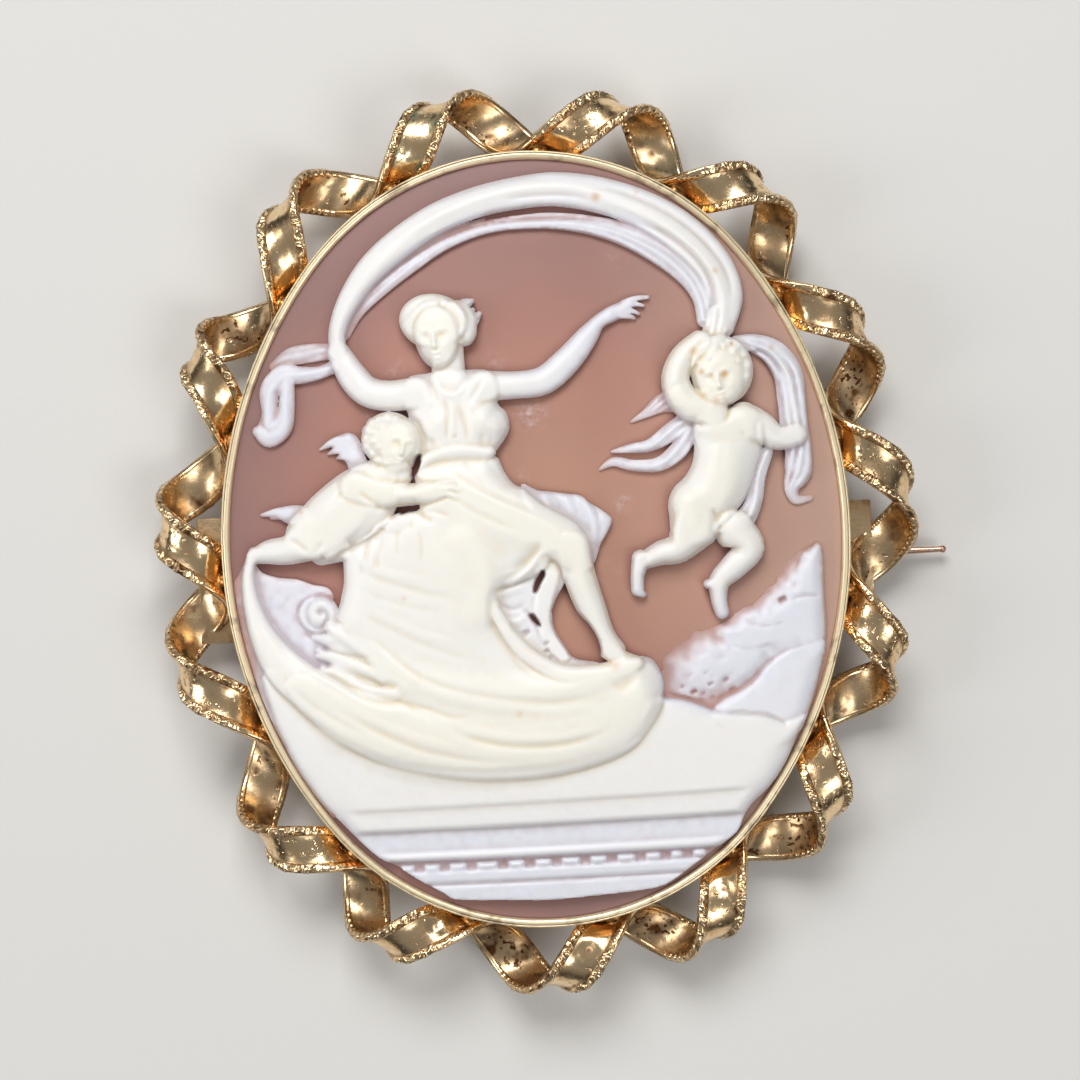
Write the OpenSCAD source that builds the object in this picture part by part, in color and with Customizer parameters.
// Oval shell cameo in a plain gold bezel, framed by a ribbon of gold strip wound in an open spiral,
// with a hinged pin and a hook behind. The carved face looks up, and the back rests on the floor.

/* [Cameo] */
// Width of the oval bezel, measured over its outside
oval_width = 44.4; // [40:0.1:50]
// Height of the oval bezel, measured over its outside
oval_height = 54.8; // [52:0.1:60]
// Radius of the oval's two end arcs
end_radius = 19.5; // [18:0.1:20]
// Thickness of the shell at its rim
shell_rim = 2.1; // [1.6:0.1:3]
// Thickness of the brown shell at its middle
shell_middle = 2.3; // [1.6:0.1:3]
// Rise of the domed ground over its rim
dome_rise = 2.4; // [1.5:0.1:3.5]
// Height of the tallest carving over the ground
relief_height = 2.3; // [1.5:0.1:3]

/* [Bezel] */
// Thickness of the bezel's wall
bezel_wall = 0.3; // [0.25:0.05:0.4]
// Height of the bezel's wall
bezel_height = 4.5; // [4:0.1:6]
// How far the bezel's lip reaches in over the shell, from the wall
lip_reach = 0.2; // [0.15:0.05:0.4]
// How far the bezel's rolled rim stands out over its wall
rim_overhang = 0.12; // [0.05:0.01:0.2]
// How far the ledge under the shell reaches in from the wall
ledge_reach = 1.1; // [0.8:0.1:2]

/* [Ribbon border] */
// Width of the border outside the bezel
border_width = 5; // [4.5:0.1:6]
// Turns of gold strip round the oval
ribbon_turns = 15; // [12:1:18]
// Width of the gold strip
strip_width = 3.3; // [2.4:0.1:4]
// Thickness of the gold strip
strip_thickness = 0.55; // [0.4:0.05:0.8]
// Height of the raised rims along the strip's edges
strip_rim = 0.14; // [0:0.02:0.3]
// Depth of the spiral from front to back
ribbon_depth = 4.5; // [3.5:0.1:5]

/* [Pin and fittings] */
// Distance of the pin's tip from the middle of the oval
pin_reach = 29.6; // [28.5:0.1:32]
// Diameter of the pin's stem at the hinge
stem_diameter = 0.95; // [0.8:0.05:1.2]
// Diameter of the stem just behind its ball tip
tip_diameter = 0.42; // [0.3:0.02:0.6]
// Diameter of the small ball at the pin's tip
ball_diameter = 0.54; // [0.4:0.02:0.7]
// Distance of the pin below the oval's middle line
pin_drop = 2; // [0:0.1:4]
// Length of the hinge plate along the border
hinge_length = 9; // [7:0.1:12]
// Length of the catch plate along the border
catch_length = 7; // [5:0.1:9]

/* [Hidden] */
$fn = 32;

gold = [0.80, 0.62, 0.33];
rose_gold = [0.86, 0.68, 0.56];
brown_shell = [0.62, 0.44, 0.37];
white_shell = [0.94, 0.92, 0.87];

// The oval is four arcs that meet in line: two end arcs and two flatter side arcs
half_w = oval_width / 2;
half_h = oval_height / 2;
end_centre = half_h - end_radius;
arc_gap = half_w - end_radius;
side_centre = (pow(end_centre, 2) - pow(arc_gap, 2)) / (2 * arc_gap);
side_radius = half_w + side_centre;
join_angle = atan2(end_centre, side_centre);

// Point of the oval whose outward direction is the angle a, moved out by an offset
function oval_point(a, offset) =
    let(t = (a % 360 + 360) % 360,
        on_end = (t > join_angle && t < 180 - join_angle) ? 1
            : (t > 180 + join_angle && t < 360 - join_angle) ? -1 : 0,
        on_side = (t <= join_angle || t >= 360 - join_angle) ? -1 : 1,
        middle = on_end != 0 ? [0, on_end * end_centre] : [on_side * side_centre, 0],
        radius = (on_end != 0 ? end_radius : side_radius) + offset)
    middle + radius * [cos(t), sin(t)];

// Outward direction at a share s of the oval's length, clockwise from the top, on the offset line
function oval_direction(s, offset) =
    let(end_half = (90 - join_angle) * (end_radius + offset),
        side_full = 2 * join_angle * (side_radius + offset),
        quarter = end_half + side_full / 2,
        part = (s - floor(s)) * 4,
        run = (part - 2 * floor(part / 2)) * quarter,
        base = part < 2 ? 90 : 270,
        turned = run < end_half ? run / (end_radius + offset)
            : run < end_half + side_full
                ? 90 - join_angle + (run - end_half) / (side_radius + offset)
                : 90 + join_angle + (run - end_half - side_full) / (end_radius + offset))
    base - turned;

// How far a place lies inside the oval
function oval_inside(p) =
    let(x = abs(p.x), y = abs(p.y), on_side = atan2(y, x + side_centre) < join_angle)
    on_side ? side_radius - norm([x + side_centre, y]) : end_radius - norm([x, y - end_centre]);

// Heights over the floor, from the back up
fitting_radius = 1.05;
pin_level = fitting_radius;
wall_bottom = 2.3;
wall_top = wall_bottom + bezel_height;
lip_thickness = 0.5;
// The bezel's rolled rim: how far its corners are rounded, and its height
rim_round = 0.13;
rim_height = 0.5;
// Rise of the ledge's sloping underside
ledge_slope = 0.9;
ground_rim_level = wall_top - lip_thickness;
ledge_level = ground_rim_level - shell_rim;
// Straight pieces that the oval's outline is drawn in
spokes = 60;

// Small gaps that keep touching pieces apart
seat_gap = 0.04;
layer_gap = 0.02;
shell_inset = rim_overhang + bezel_wall + seat_gap;
relief_inset = rim_overhang + bezel_wall + lip_reach + seat_gap;

// The ribbon's spiral, inside and outside the border
weld_gap = 0.03;
// How far the corners of the flat strip stand out of the spiral's tube
corner_rise = 0.22;
ribbon_out = (border_width + rim_overhang - weld_gap - strip_thickness - strip_rim) / 2 - corner_rise;
ribbon_mid = weld_gap - rim_overhang + corner_rise + strip_thickness / 2 + ribbon_out;
ribbon_up = (ribbon_depth - strip_thickness) / 2 - corner_rise;
ribbon_low = 2;
ribbon_level = ribbon_low + ribbon_depth / 2;
ribbon_rings = 14;
// Share of a turn by which the first front strip lies past the top, and how far the turns drift
// ahead on the right side and behind on the left, because they were wound by hand
ribbon_phase = 0.345;
ribbon_drift = 0.05;
function ribbon_angle(v) = 90 - 360 * (v - ribbon_phase - ribbon_drift * sin(360 * v / ribbon_turns));
rim_width = 0.5;
// Ties of solder between the strip and the bezel's wall
solder_width = 1.2;
solder_height = 1.6;

// Corners of the strip's section: across the strip, then out from its middle line
strip_half = strip_width / 2;
strip_skin = strip_thickness / 2;
strip_section = [
    [-strip_half, -strip_skin],
    [-strip_half, strip_skin + strip_rim],
    [-strip_half + rim_width, strip_skin],
    [strip_half - rim_width, strip_skin],
    [strip_half, strip_skin + strip_rim],
    [strip_half, -strip_skin]
];

// Middle of the strip after v turns, and the outward direction of the spiral there
function ribbon_centre(v) =
    let(a = oval_direction(v / ribbon_turns, ribbon_mid),
        phase = ribbon_angle(v),
        p = oval_point(a, ribbon_mid + ribbon_out * cos(phase)))
    [p.x, p.y, ribbon_level + ribbon_up * sin(phase)];

function ribbon_normal(v) =
    let(a = oval_direction(v / ribbon_turns, ribbon_mid),
        phase = ribbon_angle(v),
        n = [cos(phase) / ribbon_out, sin(phase) / ribbon_up],
        m = n / norm(n))
    [m.x * cos(a), m.x * sin(a), m.y];

function unit(v) = v / norm(v);

function strip_ring(v) =
    let(c = ribbon_centre(v),
        along = unit(ribbon_centre(v + 0.01) - ribbon_centre(v - 0.01)),
        outward = ribbon_normal(v),
        across = unit(cross(along, outward)))
    [for (q = strip_section) c + q.x * across + q.y * outward];

ribbon_points = [for (k = [0 : ribbon_turns * ribbon_rings - 1]) each strip_ring(k / ribbon_rings)];

// The model's place: the middle of its box over the origin
west = min([for (p = ribbon_points) p.x]);
south = min([for (p = ribbon_points) p.y]);
north = max([for (p = ribbon_points) p.y]);
middle_shift = [-(west + pin_reach) / 2, -(south + north) / 2, 0];

// The ground is a shallow dome: a bowl turned over, level all along its rim
ground_half_w = half_w - shell_inset;
ground_half_h = half_h - shell_inset;
function rim_share(x, y) = pow(x / ground_half_w, 2) + pow(y / ground_half_h, 2);
function ground_level(x, y) = ground_rim_level + dome_rise * (1 - rim_share(x, y));
back_rise = dome_rise + shell_rim - shell_middle;
// Share of the rim up to which the back of the shell is hollowed
back_share = 0.86;
function back_level(x, y) =
    ledge_level + seat_gap + back_rise * max(0, back_share - rim_share(x, y)) / back_share;

// The carving. Places are shares of the oval's half width and half height, in percent, from its
// middle. Radii are percent of the half width, and heights are percent of the tallest carving.
relief_pitch = 0.81;
thinnest_carving = 0.1;
percent_x = half_w / 100;
percent_y = half_h / 100;
percent_z = relief_height / 100;

// Limbs, bands and folds of cloth: name, height kept at the edge, stations of x, y, radius, height
strands = [
    ["veil, outer band", 0.5, [[-60, 50, 2.8, 50], [-59.5, 56, 2.9, 50], [-51, 68.5, 3.9, 54],
        [-38.5, 77, 5, 56], [-20.5, 85, 5.1, 56], [0, 88.9, 5.4, 54], [20, 88.5, 5.4, 54],
        [39.5, 83.5, 5.5, 56], [51.5, 77, 5.7, 58], [60.5, 68, 5.4, 58], [63.6, 59.5, 5, 56],
        [60.8, 52, 3.8, 56]]],
    ["veil, lower band", 0.6, [[-57.2, 54, 1.4, 26], [-52, 62.3, 2.1, 27], [-40, 69.2, 2.1, 27],
        [-25, 76.6, 1.7, 25], [-10, 80.4, 1.4, 25], [10, 80.8, 1.9, 26], [25, 78.7, 2.8, 30],
        [40, 74.3, 3.4, 32], [50.3, 68.8, 3.6, 34], [56, 61.5, 3.3, 36], [57, 54.5, 3, 40]]],
    ["veil, gathered end", 0.5, [[60.5, 54, 3.8, 56], [59, 50, 4, 62], [56, 47, 3.8, 70]]],
    ["veil, back end of the tail", 0.6, [[-61.5, 50.5, 2.2, 30], [-68, 50, 3.3, 26],
        [-75, 49.3, 3.2, 22], [-80.5, 48, 1.4, 15]]],
    ["veil, tail", 0.5, [[-60, 46.5, 2, 36], [-66, 44.5, 2.2, 38], [-72, 44.3, 2.8, 38],
        [-78, 44.6, 3.3, 40], [-82, 41, 3.4, 42], [-81.8, 35, 3.6, 42], [-84, 30.6, 3.9, 38]]],
    ["veil, fold of the tail", 0.5, [[-77.3, 42, 3, 36], [-77.2, 36, 3, 38], [-79, 30.8, 3.8, 38]]],
    ["lady, neck", 0.6, [[-25.8, 50, 5, 72], [-25.2, 43, 5.4, 70]]],
    ["lady, near arm", 0.45, [[-36, 38.5, 5, 66], [-44, 38, 4.9, 62], [-51, 39.3, 4.8, 60],
        [-55.6, 43.6, 4.9, 58], [-59.8, 50, 3.9, 52]]],
    ["lady, far arm", 0.4, [[-14, 39.5, 4.8, 62], [-4, 39.5, 4.3, 52], [5, 40.4, 4.6, 46],
        [13.5, 46.3, 4.4, 42], [19.5, 52, 3.4, 36], [24, 55.3, 2.3, 30], [28.5, 57.4, 2.3, 28],
        [32.5, 58.8, 1.9, 25]]],
    ["lady, first finger", 0.6, [[32, 59.8, 1, 22], [38.5, 60.9, 0.5, 17]]],
    ["lady, second finger", 0.6, [[32, 58.6, 1, 22], [36.8, 58.5, 0.6, 17]]],
    ["lady, third finger", 0.6, [[31, 57.2, 1, 20], [34.8, 56.7, 0.6, 16]]],
    ["lady, belt", 0.7, [[-36, 20.6, 2, 70], [-24, 23.4, 2, 74], [-13.5, 22.6, 2, 66]]],
    ["lady, thigh", 0.35, [[-26, 6, 13, 82], [-10, 3.5, 11.5, 94], [4, -0.5, 9.5, 100],
        [11, -4.5, 6.6, 96]]],
    ["lady, shin", 0.4, [[11.5, -4, 5.6, 96], [13.8, -12, 5.5, 90], [17, -19.5, 4.5, 84],
        [20.8, -26, 3.4, 78], [25, -31, 3.6, 76]]],
    ["lady, far thigh", 0.35, [[-34, 4, 11, 84], [-44, -3, 11, 86], [-48, -12, 9, 76]]],
    ["skirt, hem", 0.5, [[-15.5, -13.5, 1.8, 72], [-13, -19, 2.2, 74], [-8, -25.5, 2.4, 74],
        [-1, -30.5, 2.6, 76], [8, -34, 2.6, 76], [18, -34.2, 2.8, 78], [27, -32.8, 3, 78]]],
    ["skirt, side edge", 0.5, [[-58.4, -2, 2.4, 52], [-58.4, -9, 2.6, 54], [-60.2, -15, 2.8, 58],
        [-61, -19, 2.6, 60]]],
    ["left child, back", 0.4, [[-47, 17, 7.5, 84], [-56, 13, 8.4, 88], [-65, 6.3, 9.2, 88],
        [-72, 2.6, 7, 80]]],
    ["left child, leg", 0.45, [[-71, 2.6, 6.6, 80], [-79, -0.3, 4.6, 72], [-85.5, -0.8, 3.5, 64],
        [-90, -1.3, 2.3, 52]]],
    ["left child, far knee", 0.5, [[-61, 1, 4.5, 66], [-68, -1.4, 3.4, 56]]],
    ["left child, arm", 0.5, [[-55, 16, 4.6, 90], [-44, 13.2, 4.2, 94], [-34, 13, 3.7, 94],
        [-27.5, 13.4, 3, 92]]],
    ["right child, back", 0.35, [[61, 28, 9.5, 80], [61, 20, 10.2, 86], [58, 12, 12.6, 88],
        [56, 5, 13.8, 86], [56, 1.6, 13, 82]]],
    ["right child, raised arm", 0.5, [[57, 31, 5, 92], [49, 33, 5, 92], [46, 39, 4.5, 90],
        [49, 45, 4.3, 86], [54.5, 48.6, 3.9, 80]]],
    ["right child, lowered arm", 0.45, [[67, 28.5, 5.2, 82], [72, 26.2, 4.9, 78],
        [77.5, 23.2, 4, 70], [83.5, 24.6, 3.4, 60]]],
    ["right child, bent leg", 0.45, [[50, 1, 7.4, 82], [44, -3.7, 4.8, 76], [38, -5.3, 3.7, 64],
        [33.4, -7.6, 2.7, 54]]],
    ["right child, raised foot", 0.6, [[32.2, -6.3, 2.1, 50], [31, -13.6, 1.7, 42]]],
    ["right child, standing leg", 0.45, [[62, 0, 7.4, 82], [67, -4.3, 5.1, 76],
        [61.5, -9, 4.3, 66], [56.8, -12.8, 3.1, 56], [56.8, -20.5, 2.3, 38]]],
    ["scarf", 0.5, [[65, 49.3, 1.4, 38], [72, 48, 2.9, 42], [78, 44.9, 4.6, 44],
        [82.1, 39, 5.2, 46], [82.8, 32, 4.9, 46], [83.4, 26, 4.6, 48], [83.6, 20, 4.6, 46],
        [83.2, 14.5, 4.1, 42], [81.9, 10.3, 2.8, 32], [83.2, 7.3, 1.9, 24], [86.6, 6.3, 1.2, 16]]],
    ["hip cloth", 0.5, [[75, 19, 2, 44], [71.6, 12, 2.6, 46], [67, 5, 3, 46], [60, 2.5, 2.6, 44]]],
    ["streamer, upper", 0.6, [[46, 32.5, 3.2, 36], [39.5, 32.8, 2.6, 28], [33, 29.8, 1, 18]]],
    ["streamer, middle", 0.6, [[48, 30, 3, 36], [42, 26, 2.4, 32], [36, 22.8, 2, 28],
        [31, 22.3, 1.6, 24], [25.8, 21.7, 0.7, 16]]],
    ["streamer, lower", 0.6, [[49.5, 27.5, 2.8, 38], [45, 21.5, 3.2, 34], [38, 17.9, 2.4, 30],
        [30, 18.8, 1.8, 26], [23.4, 18.6, 1.2, 20], [21, 17.3, 0.5, 14]]],
    ["boat, prow", 0.4, [[-90, -0.6, 1.6, 52], [-91.2, -6, 2.3, 60], [-89.9, -14, 3, 66],
        [-87, -22, 3.9, 72], [-81, -30, 6.2, 78], [-72, -37, 8, 82], [-60, -43.5, 9, 86],
        [-46, -48.5, 10, 88]]],
    ["leaf, upper", 0.5, [[-65, -19.6, 2.6, 58], [-58, -23.6, 3.2, 64], [-48, -30, 3, 66]]],
    ["leaf, middle", 0.5, [[-68, -24.4, 1.4, 48], [-61, -26.6, 2.3, 58], [-53, -31, 2.6, 62]]],
    ["leaf, lower", 0.5, [[-64, -30.4, 1.6, 50], [-56, -33.8, 2.3, 58], [-46, -37, 2.4, 62]]]
];

// Rounded lumps: name, height kept at the edge, x, y, radius across, radius up, turn, height
lumps = [
    ["lady, hair", 0.5, -29.3, 57, 10.8, 8.3, -8, 88],
    ["lady, face", 0.5, -28.3, 52.6, 7.4, 9.8, 0, 90],
    ["lady, hair at the back", 0.5, -20.5, 56.6, 5.2, 7.6, 10, 78],
    ["lady, upper curl", 0.5, -17.8, 60, 2.5, 2.3, 0, 50],
    ["lady, lower curl", 0.5, -15.6, 57, 2.3, 2.3, 0, 46],
    ["lady, left breast", 0.3, -29.5, 31.5, 8.4, 7.6, 0, 76],
    ["lady, right breast", 0.3, -15.3, 30.6, 9, 7.6, 0, 78],
    ["left child, head", 0.45, -44, 25.4, 9.4, 10, -15, 100],
    ["right child, head", 0.45, 60.3, 40.9, 10, 10.8, 0, 98],
    ["boat, scroll", 0.5, -69.4, -16.6, 5.6, 5.6, 0, 62]
];

// Flat parts: name, height kept at the edge, width of the rounded shoulder, height, outline
plates = [
    ["lady, bodice", 0.45, 10, 66, [[-38.6, 41.8], [-33, 43.3], [-20, 43.8], [-12, 43.2], [-9.6, 39],
        [-10.2, 35], [-7.4, 32.6], [-6.7, 29], [-8.2, 26], [-12.4, 22], [-20, 17], [-36, 17],
        [-37, 22], [-36.4, 28], [-38.8, 34]]],
    ["lady, skirt", 0.4, 9, 76, [[-37, 20], [-24, 22.5], [-12.3, 22], [-8, 16.6], [-3, 13],
        [6, 10.6], [14, 5.5], [18, -3], [18.6, -8], [12, -8.6], [7, -7.4], [2, -8.2], [-8, -11.2],
        [-15.6, -13.4], [-13.6, -19], [-8.5, -26], [-2, -31], [-2, -37], [-22, -40], [-40, -35],
        [-52, -27.5], [-63.5, -20], [-62.4, -14], [-60.8, -9], [-60.4, -1], [-52, 3], [-48, 6],
        [-36, 9]]],
    ["skirt, under layer", 0.8, 3, 44, [[-16, -13.4], [-6, -11.2], [1, -8], [8, -7], [8.4, -13],
        [5, -16], [4.2, -21], [5.6, -25], [9.6, -30.4], [16, -31.8], [20, -34], [8, -37], [-4, -33],
        [-10, -27], [-14, -20]]],
    ["cloth behind", 0.6, 4, 34, [[-4, 14], [5, 11.7], [14, 10.7], [20, 7.3], [24, 4.6], [24, 2.8],
        [20.4, -1.5], [17.2, -7.4], [12, -6], [0, 5]]],
    ["left child, wing", 0.7, 4, 38, [[-66.6, 26], [-63, 28.6], [-58.5, 29.4], [-55.5, 28.3],
        [-53.4, 25], [-51, 20.5], [-55, 17.5], [-58.8, 20.6], [-60.6, 23.6], [-62.4, 25]]],
    ["left child, lower wing", 0.7, 3, 36, [[-86.3, 9.6], [-84, 10.4], [-79, 11.2], [-76.5, 12.3],
        [-74.8, 11.4], [-72, 9], [-75, 5], [-78, 6], [-80, 8], [-83, 8.6]]],
    ["boat, inside", 0.8, 3, 26, [[-90, -4], [-86, -6.2], [-80, -7.4], [-74, -8], [-69, -9.5],
        [-66.4, -12], [-65.4, -17.6], [-55, -24], [-50, -36], [-64, -44], [-84, -32], [-91, -18]]],
    ["boat, hull", 0.5, 12, 90, [[-63, -22], [-46, -31], [-30, -37.5], [-4, -38.5], [8, -34],
        [20, -31.6], [28, -30], [34.6, -31.8], [37.6, -35], [38.3, -39], [37, -44], [33, -49.5],
        [27, -54.5], [16, -58], [0, -60.4], [-20, -60.6], [-38, -58.4], [-54, -54.5], [-66, -48],
        [-76, -40]]],
    ["hill", 0.2, 20, 30, [[34, -31], [38.5, -29], [42.5, -27], [46.5, -24], [50.5, -22],
        [55, -21.2], [60, -19], [66, -16.5], [72, -13.8], [77, -10], [81, -7], [85, -5.6],
        [90, -4.6], [90.6, -18], [90, -34], [76, -35], [66, -41], [52, -43.5], [36, -42]]],
    ["lower hill", 0.6, 8, 46, [[54, -46.5], [58, -42.6], [62, -41], [66, -39.4], [72, -35],
        [78, -31.2], [85, -29.8], [90.2, -29.4], [87.4, -39], [84, -47], [80, -53], [70, -56],
        [60, -52]]],
    ["sea and base", 0.42, 13, 52, [[-93.3, -9], [-92, -18], [-90, -30], [-88, -38], [-85, -46],
        [-81, -54], [-76, -61], [-70, -67.4], [-65, -71], [-60, -75.4], [-54, -80], [-48, -82.6],
        [-42, -86], [-34, -89.8], [-30, -91.6], [-15, -92.2], [0, -92.6], [15, -92], [33, -90.8],
        [40, -88.4], [46, -85], [56, -79.6], [60, -77], [62, -73.4], [65, -70], [71, -65.6],
        [76, -60], [80, -53], [83, -48], [74, -48.4], [60, -47.4], [52, -45], [45, -42.6],
        [37, -41.5], [20, -42], [-40, -42], [-60, -38], [-84, -20], [-89.5, -9]]]
];

// Gaps cut down to the ground: name, outline
gaps = [
    ["under the shin", [[7.4, -14.2], [9, -14.8], [10.2, -17.2], [13, -20], [15.6, -22.6],
        [18, -26], [19.2, -29], [18.5, -31.6], [16, -31.9], [10, -30.6], [8, -28], [5, -24.2],
        [4.2, -21], [4.3, -18], [5.2, -15.8]]]
];

// Grooves between folds: width, depth, line of places
grooves = [
    [6, 12, [[-63, -21.4], [-55, -25.8], [-48, -31], [-40, -36.5], [-30, -40.6], [-20, -42.5]]],
    [6, 10, [[-72, -31], [-62, -35.8], [-54, -39], [-44, -41], [-34, -43.4], [-22, -45]]],
    [7, 12, [[-58, -42], [-50, -48.5], [-40, -54], [-28, -57.4], [-12, -59.2], [6, -59], [20, -57]]],
    [7, 12, [[-36, -42], [-28, -47], [-18, -51.6], [-8, -53.2], [4, -52.6], [16, -51], [30, -48.4]]],
    [6, 10, [[-18, -38.6], [-8, -41], [5, -42], [18, -41.2], [28, -38.6], [34, -35]]],
    [6, 12, [[1, 1], [-3, -3.6], [-8, -8], [-14, -12]]],
    [6, 10, [[-59, -5], [-50, -9.4], [-40, -12.4], [-28, -13.6], [-16, -14]]],
    [6, 10, [[-60, -13], [-48, -18], [-34, -23], [-20, -27], [-8, -31]]],
    [5, 10, [[-26.4, 39], [-25, 34.5], [-21.5, 30.5], [-18, 27]]],
    [5, 10, [[-36, 25.8], [-24, 26.4], [-12, 25]]]
];

// Steps of the plinth: place of the edge at the left and at the right, height below that edge
steps = [
    [-73.6, -71.6, 38],
    [-79.8, -78, 46],
    [-81.4, -80.4, 32],
    [-87.6, -86.2, 22]
];

// Smooth line through a list of rows, with a number of pieces between two rows
function curve(rows, pieces) =
    let(last = len(rows) - 1)
    [for (i = [0 : last - 1], k = [0 : pieces - 1])
        let(a = rows[max(i - 1, 0)], b = rows[i], c = rows[i + 1],
            d = rows[min(i + 2, last)], t = k / pieces)
        b + t / 2 * (c - a) + t * t / 2 * (2 * a - 5 * b + 4 * c - d)
            + t * t * t / 2 * (3 * b - a - 3 * c + d),
    rows[last]];

function to_mm(rows) = [for (r = rows) [for (k = [0 : len(r) - 1]) r[k] * (k == 1 ? percent_y
    : k == 3 ? percent_z : percent_x)]];

// Lowest and highest corner of a list of places, widened by a margin
function reach(points, margin) = [
    min([for (p = points) p.x]) - margin, min([for (p = points) p.y]) - margin,
    max([for (p = points) p.x]) + margin, max([for (p = points) p.y]) + margin
];
function near(p, box) = p.x > box[0] && p.y > box[1] && p.x < box[2] && p.y < box[3];

strand_lines = [for (s = strands) let(line = curve(to_mm(s[2]), 2))
    [reach(line, max([for (p = line) p[2]]) + relief_pitch), s[1], line]];
lump_sizes = [for (l = lumps)
    let(r = [l[4], l[5]] * percent_x, c = [l[2] * percent_x, l[3] * percent_y])
    [reach([c], max(r) + relief_pitch), l[1], c, r, l[6], l[7] * percent_z]];
plate_lines = [for (q = plates) let(line = to_mm(q[4]))
    [reach(line, relief_pitch), q[1], q[2] * percent_x, q[3] * percent_z, line]];
gap_lines = [for (g = gaps) let(line = to_mm(g[1])) [reach(line, relief_pitch), line]];
groove_lines = [for (g = grooves) let(line = curve(to_mm(g[2]), 2), w = g[0] * percent_x)
    [reach(line, w), w, g[1] * percent_z, line]];

// Dome of unit height over a distance from the edge, with a share kept upright at the edge
function domed(share, edge) = edge + (1 - edge) * sqrt(1 - pow(1 - min(max(share, 0), 1), 2));

// Each of these gives how far a place lies inside a form, and how high the form is there
function on_strand(p, edge, line) =
    let(found = [for (i = [0 : len(line) - 2])
            let(a = line[i], b = line[i + 1], ab = [b.x - a.x, b.y - a.y], ap = [p.x - a.x, p.y - a.y],
                t = max(0, min(1, (ap * ab) / max(ab * ab, 1e-9))),
                r = a[2] + t * (b[2] - a[2]), inside = r - norm(ap - t * ab))
            [inside, (a[3] + t * (b[3] - a[3])) * domed(inside / r, edge)]])
    [max([for (f = found) f[0]]), max([for (f = found) f[0] > -relief_pitch / 2 ? f[1] : 0])];

function on_lump(p, edge, c, r, turn, high) =
    let(d = [p.x - c.x, p.y - c.y],
        u = d.x * cos(turn) + d.y * sin(turn),
        v = d.y * cos(turn) - d.x * sin(turn),
        share = norm([u / r.x, v / r.y]))
    [(1 - share) * min(r), high * domed(1 - share, edge)];

// Distance of a place from the straight piece between two corners
function piece_distance(p, a, b) =
    let(ab = b - a, t = max(0, min(1, ((p - a) * ab) / (ab * ab))))
    norm(p - a - t * ab);

function edge_distance(p, line) = min([for (i = [0 : len(line) - 1])
    piece_distance(p, line[i], line[(i + 1) % len(line)])]);

function crossings(p, line) = len([for (i = [0 : len(line) - 1])
    let(a = line[i], b = line[(i + 1) % len(line)])
    if ((a.y > p.y) != (b.y > p.y) && p.x < a.x + (p.y - a.y) / (b.y - a.y) * (b.x - a.x)) 1]);

function inside_outline(p, line) = (crossings(p, line) % 2 == 1 ? 1 : -1) * edge_distance(p, line);

function on_plate(p, edge, shoulder, high, line) =
    let(inside = inside_outline(p, line))
    [inside, high * domed(inside / shoulder, edge)];

function groove_depth(p) = max([0, for (g = groove_lines) if (near(p, g[0]))
    let(d = min([for (i = [0 : len(g[3]) - 2]) piece_distance(p, g[3][i], g[3][i + 1])]))
    d < g[1] / 2 ? g[2] * (1 + cos(360 * d / g[1])) / 2 : 0]);

function step_limit(p) = min([relief_height, for (s = steps)
    let(y = ((s[0] + s[1]) / 2 + (s[1] - s[0]) / 2 * p.x / half_w) * percent_y)
    if (p.y < y) s[2] * percent_z]);

// How far a place lies inside the white carving, and the carving's height there
function carving(p) =
    let(found = concat(
            [for (s = strand_lines) if (near(p, s[0])) on_strand(p, s[1], s[2])],
            [for (l = lump_sizes) if (near(p, l[0])) on_lump(p, l[1], l[2], l[3], l[4], l[5])],
            [for (q = plate_lines) if (near(p, q[0])) on_plate(p, q[1], q[2], q[3], q[4])]),
        open = max([-relief_pitch, for (g = gap_lines) if (near(p, g[0])) inside_outline(p, g[1])]),
        inside = min(max([-relief_pitch, for (f = found) f[0]]), -open, oval_inside(p) - relief_inset),
        high = max([0, for (f = found) if (f[0] > -relief_pitch / 2) f[1]]))
    [inside, max(thinnest_carving, min(high, step_limit(p)) - groove_depth(p))];

columns = ceil(2 * half_w / relief_pitch);
rows = ceil(2 * half_h / relief_pitch);
function grid_place(i, j) = [(i - columns / 2) * relief_pitch, (j - rows / 2) * relief_pitch];

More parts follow.
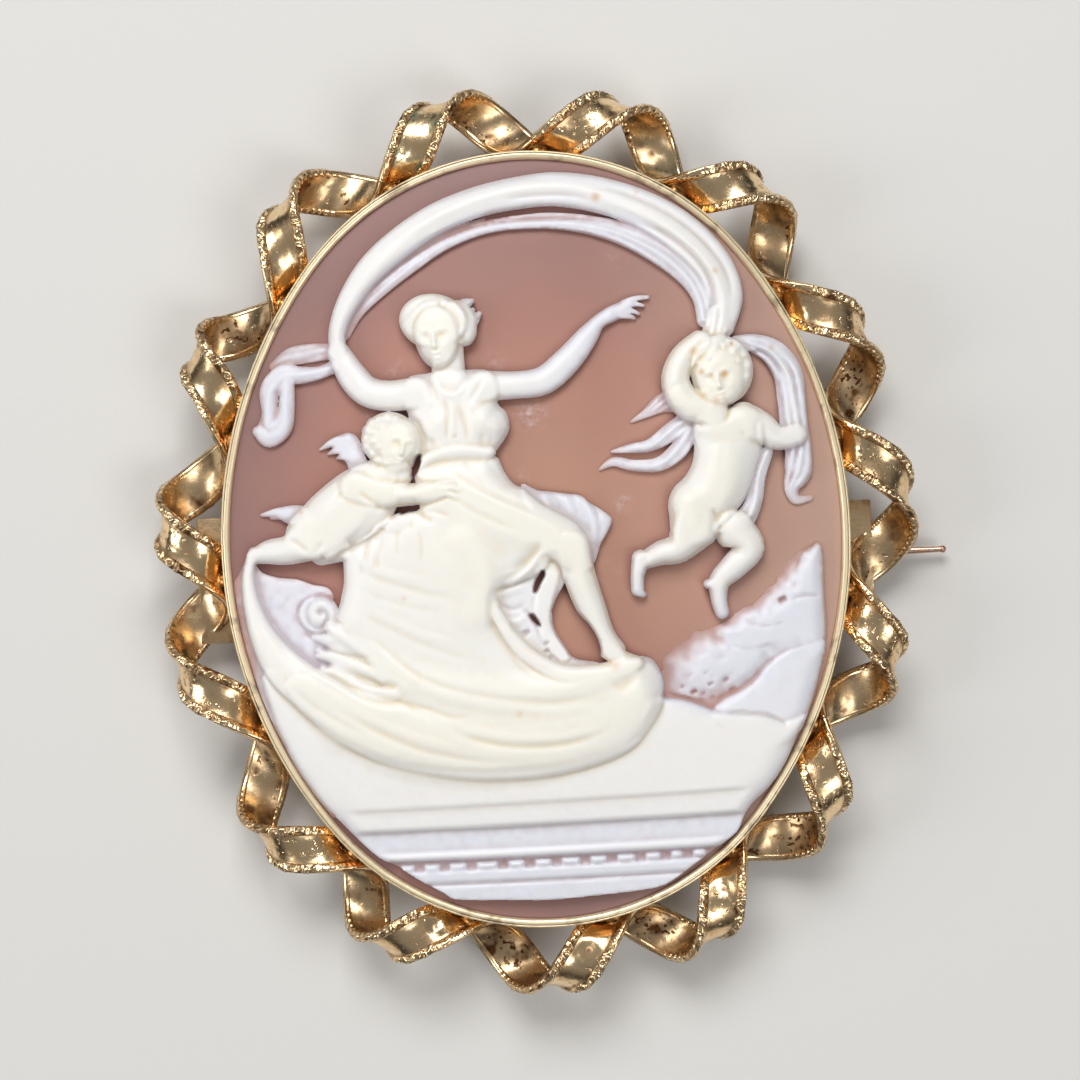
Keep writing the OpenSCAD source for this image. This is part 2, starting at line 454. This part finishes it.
module cameo_relief() {
    width = columns + 1;
    count = width * (rows + 1);
    field = [for (j = [0 : rows], i = [0 : columns]) carving(grid_place(i, j))];
    // The height at a grid point, evened out with its neighbours inside the carving
    spread = [[0, 4], [-1, 2], [1, 2], [-width, 2], [width, 2], [-width - 1, 1], [-width + 1, 1],
        [width - 1, 1], [width + 1, 1]];
    function evened(k) =
        let(used = [for (w = spread) if (field[k + w[0]][0] > 0) w],
            weights = [for (w = used) w[1]])
        weights * [for (w = used) field[k + w[0]][1]] / (weights * [for (w = used) 1]);
    // Share of the way from grid point k to grid point m at which the carving ends
    function end_share(k, m) = min(max(field[k][0] / (field[k][0] - field[m][0]), 0.1), 0.9);
    function place_of(k) = grid_place(k % width, floor(k / width));
    function end_place(k, m) = m < count && (field[k][0] > 0) != (field[m][0] > 0)
        ? place_of(k) + end_share(k, m) * (place_of(m) - place_of(k)) : place_of(k);
    places = concat(
        [for (k = [0 : count - 1]) place_of(k)],
        [for (k = [0 : count - 1]) end_place(k, k + 1)],
        [for (k = [0 : count - 1]) end_place(k, k + width)]);
    heights = concat(
        [for (k = [0 : count - 1]) field[k][0] > 0 ? evened(k) : 0],
        [for (k = [count : len(places) - 1])
            let(m = k % count, other = m + (k < 2 * count ? 1 : width))
            other < count && (field[m][0] > 0) != (field[other][0] > 0) ? carving(places[k])[1] : 0]);
    // Corners of the carving's part of one cell, in turn, and the walls along its edge
    function cell_ring(i, j) =
        let(k = j * width + i, corner = [k, k + 1, k + 1 + width, k + width],
            side = [count + k, 2 * count + k + 1, count + k + width, 2 * count + k])
        [for (n = [0 : 3]) let(here = field[corner[n]][0] > 0, next = field[corner[(n + 1) % 4]][0] > 0)
            each [if (here) corner[n], if (here != next) side[n]]];
    total = len(places);
    rings = [for (j = [0 : rows - 1], i = [0 : columns - 1])
        let(ring = cell_ring(i, j)) if (len(ring) > 2) ring];
    tops = [for (ring = rings, n = [1 : len(ring) - 2]) [ring[0], ring[n + 1], ring[n]]];
    walls = [for (ring = rings, n = [0 : len(ring) - 1])
        let(a = ring[n], b = ring[(n + 1) % len(ring)])
        if (a >= count && b >= count) each [[a, b, total + b], [a, total + b, total + a]]];
    underside = [for (p = places) [p.x, p.y, ground_level(p.x, p.y) + layer_gap]];
    points = concat([for (k = [0 : total - 1]) underside[k] + [0, 0, heights[k]]], underside);
    bottoms = [for (t = tops) [t[0] + total, t[2] + total, t[1] + total]];
    color(white_shell) translate(middle_shift) polyhedron(points, concat(tops, bottoms, walls));
}

// Oval outline drawn on straight pieces, moved out by an offset and drawn smaller by a share
function oval_ring(offset, share) =
    [for (k = [0 : spokes - 1]) oval_point(oval_direction(k / spokes, 0), offset) * share];

// Triangles between rings of equal length, from each ring to the next
function ring_faces(rings, corners, closed) =
    [for (r = [0 : rings - (closed ? 1 : 2)], k = [0 : corners - 1])
        let(a = r * corners + k, b = r * corners + (k + 1) % corners,
            up = ((r + 1) % rings) * corners - r * corners)
        each [[a, a + up, b + up], [a, b + up, b]]];

// The brown shell: rings of the oval from the middle out, over the dome and back under the shell.
// Each ring's size is a share of the rim's
top_shares = [0.25, 0.5, 0.75, 0.97];
back_shares = [0.93, 0.7, 0.4];
edge_round = 0.3;
module cameo_ground() {
    top_rings = [for (share = top_shares)
        [for (p = oval_ring(-shell_inset, share)) [p.x, p.y, ground_level(p.x, p.y)]]];
    rim_rings = [for (level = [ground_rim_level - edge_round, ledge_level + seat_gap])
        [for (p = oval_ring(-shell_inset, 1)) [p.x, p.y, level]]];
    back_rings = [for (share = back_shares)
        [for (p = oval_ring(-shell_inset, share)) [p.x, p.y, back_level(p.x, p.y)]]];
    rings = concat(top_rings, rim_rings, back_rings);
    count = len(rings) * spokes;
    points = concat([for (r = rings) each r], [[0, 0, ground_level(0, 0)], [0, 0, back_level(0, 0)]]);
    caps = [for (k = [0 : spokes - 1]) let(next = (k + 1) % spokes)
        each [[count, k, next], [count + 1, count - spokes + next, count - spokes + k]]];
    color(brown_shell) translate(middle_shift)
        polyhedron(points, concat(ring_faces(len(rings), spokes, false), caps));
}

// Wall with a lip rolled in over the shell and a ledge under the shell
module bezel() {
    face = rim_overhang + bezel_wall;
    ledge = face + ledge_reach;
    lip = face + lip_reach;
    lip_level = ground_rim_level + layer_gap;
    section = [
        [rim_overhang, wall_bottom],
        [ledge, wall_bottom + ledge_slope],
        [ledge, ledge_level],
        [face, ledge_level],
        [face, lip_level],
        [lip, lip_level + seat_gap],
        [lip - rim_round / 2, wall_top - rim_round],
        [face, wall_top],
        [rim_round, wall_top],
        [0, wall_top - rim_round],
        [0, wall_top - rim_height],
        [rim_overhang, wall_top - rim_height - 2 * rim_round]
    ];
    points = [for (q = section) each [for (p = oval_ring(-q.x, 1)) [p.x, p.y, q.y]]];
    polyhedron(points, ring_faces(len(section), spokes, true));
}

module ribbon() {
    polyhedron(ribbon_points, ring_faces(ribbon_turns * ribbon_rings, len(strip_section), true));
}

// Solder that joins the strip to the bezel's wall, once a turn
module solder() {
    deep = bezel_wall / 2 + weld_gap + corner_rise + strip_thickness / 2;
    for (k = [0 : ribbon_turns - 1]) {
        v = k + ribbon_phase - 0.25;
        a = oval_direction((v + ribbon_drift * sin(360 * v / ribbon_turns)) / ribbon_turns, ribbon_mid);
        p = oval_point(a, -rim_overhang - bezel_wall / 2);
        translate([p.x, p.y, ribbon_level]) rotate(a) translate([0, -solder_width / 2, -solder_height / 2])
            cube([deep, solder_width, solder_height]);
    }
}

// The hinge and the catch: places of the rivet and of the hook along the pin, and their plates
plate_thickness = 0.5;
plate_level = 2 * fitting_radius + 0.05;
hinge_x = -half_w - 1.3;
catch_x = half_w + 0.3;
hinge_plate = [-0.8, 1.6];
catch_plate = [-0.6, 1.6];
catch_plate_south = 3.2;
// How far the ears and the hook reach up into their plates
fitting_rise = fitting_radius + 0.3;
eye_length = 1.2;
eye_radius = 0.85;
ear_length = 1;
ear_leg = [-0.5, 0.8];
rivet_radius = 0.4;
eye_gap = 0.06;
hook_wall = 0.42;
hook_width = 1.6;
hook_turn = 240;

// Bar along y with a round underside: a rolled ear of the hinge
module barrel(length, radius) {
    rotate([90, 0, 0]) cylinder(r = radius, h = length, center = true);
}

// Plate across the back of the border with two ears and the rivet that carries the pin
module hinge() {
    translate([hinge_x, -pin_drop, 0]) {
        translate([hinge_plate[0], -hinge_length / 2, plate_level])
            cube([hinge_plate[1] - hinge_plate[0], hinge_length, plate_thickness]);
        for (side = [-1, 1]) translate([0, side * (eye_length / 2 + eye_gap + ear_length / 2), 0]) {
            translate([0, 0, pin_level]) barrel(ear_length, fitting_radius);
            translate([ear_leg[0], -ear_length / 2, pin_level])
                cube([ear_leg[1] - ear_leg[0], ear_length, fitting_rise]);
        }
        translate([0, 0, pin_level]) barrel(eye_length + 2 * ear_length, rivet_radius);
    }
}

// Plate with a plain hook, open at the top side, that the stem lies in
module catch_hook() {
    translate([catch_x, -pin_drop, 0]) {
        translate([catch_plate[0], -catch_plate_south, plate_level])
            cube([catch_plate[1] - catch_plate[0], catch_length, plate_thickness]);
        translate([0, 0, pin_level]) rotate([0, 90, 0]) rotate([0, 0, 90 - hook_turn])
            rotate_extrude(angle = hook_turn) translate([fitting_radius - hook_wall, 0])
                square([hook_wall, hook_width]);
        translate([0, -fitting_radius, pin_level]) cube([hook_width, hook_wall, fitting_rise]);
    }
}

module gold_setting() {
    color(gold) translate(middle_shift) {
        bezel();
        ribbon();
        solder();
        hinge();
        catch_hook();
    }
}

// Length of the stem's taper inside the oval
taper_length = 6;

// The pin: an eye on the hinge's rivet, a stem that tapers to its tip, and a small ball
module pin_stem() {
    ball_centre = pin_reach - ball_diameter / 2;
    taper_start = half_w - taper_length;
    color(rose_gold) translate(middle_shift) translate([0, -pin_drop, pin_level]) {
        difference() {
            union() {
                translate([hinge_x, 0, 0]) barrel(eye_length, eye_radius);
                translate([hinge_x, 0, 0]) rotate([0, 90, 0])
                    cylinder(d = stem_diameter, h = taper_start - hinge_x);
            }
            translate([hinge_x, 0, 0]) barrel(2 * eye_length, rivet_radius + eye_gap);
        }
        translate([taper_start, 0, 0]) rotate([0, 90, 0])
            cylinder(d1 = stem_diameter, d2 = tip_diameter, h = ball_centre - taper_start);
        translate([ball_centre, 0, 0]) sphere(d = ball_diameter);
    }
}

gold_setting();
cameo_ground();
cameo_relief();
pin_stem();
